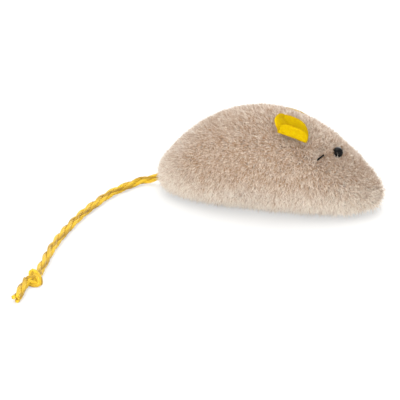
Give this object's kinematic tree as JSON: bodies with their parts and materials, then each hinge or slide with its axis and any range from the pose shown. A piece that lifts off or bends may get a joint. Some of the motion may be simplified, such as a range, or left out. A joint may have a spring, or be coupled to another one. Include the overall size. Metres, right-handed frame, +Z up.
{
  "type": "catnip mouse",
  "caption": "Stuffed plush mouse with folded felt ears, bead eyes and a knotted twisted-cord tail, filled with a catnip sachet for a cat to bat and carry.",
  "frame": {"origin": "on the floor under the middle of the stuffed body, without the tail", "axes": "+X from the rump to the nose, +Y to the mouse's left, +Z up"},
  "size_m": [0.1419, 0.1587, 0.0491],
  "materials": {
    "plush": "beige short-pile plush",
    "stuffing": "white fibre filling",
    "seam_thread": "beige sewing thread",
    "sachet_cloth": "unbleached non-woven",
    "dried_leaf": "crumbled dried leaf",
    "felt": "yellow felt",
    "ear_thread": "yellow sewing thread",
    "bead": "gloss black",
    "black_thread": "black thread",
    "cord": "yellow twisted cord"
  },
  "bodies": {
    "body": {"right_side_panel": "plush", "left_side_panel": "plush", "belly_panel": "plush", "stuffing": "stuffing", "back_seam_thread": "seam_thread", "right_belly_seam_thread": "seam_thread", "left_belly_seam_thread": "seam_thread", "closing_thread": "seam_thread", "sachet_upper_sheet": "sachet_cloth", "sachet_lower_sheet": "sachet_cloth", "dried_catnip": "dried_leaf", "right_eye_bead": "bead", "left_eye_bead": "bead", "eye_thread": "black_thread", "eye_thread_end": "black_thread", "tail_anchor": "cord"},
    "right_ear": {"right_ear": "felt", "right_ear_tack": "ear_thread"},
    "left_ear": {"left_ear": "felt", "left_ear_tack": "ear_thread"},
    "tail_root": {"tail_root": "cord"},
    "tail": {"tail_cord": "cord", "tail_knot": "cord", "tail_end": "cord"}
  },
  "joints": [
    {"name": "right_ear_flop", "type": "hinge", "parent": "body", "child": "right_ear", "pos_m": [0.01537, -0.01505, 0.04281], "axis": [0.9481, 0.0917, -0.3043], "range_deg": [0, 60], "stiffness_Nm_per_rad": 0.0005},
    {"name": "left_ear_flop", "type": "hinge", "parent": "body", "child": "left_ear", "pos_m": [0.00903, 0.02589, 0.03169], "axis": [-0.9822, 0.1094, 0.1527], "range_deg": [0, 60], "stiffness_Nm_per_rad": 0.0005},
    {"name": "tail_swing", "type": "hinge", "parent": "body", "child": "tail_root", "pos_m": [-0.05955, 0, 0.004], "axis": [0, 0, 1], "range_deg": [-60, 40]},
    {"name": "tail_lift", "type": "hinge", "parent": "tail_root", "child": "tail", "pos_m": [-0.05955, 0, 0.004], "axis": [-0.9901, 0.14, 0], "range_deg": [0, 60]}
  ]
}
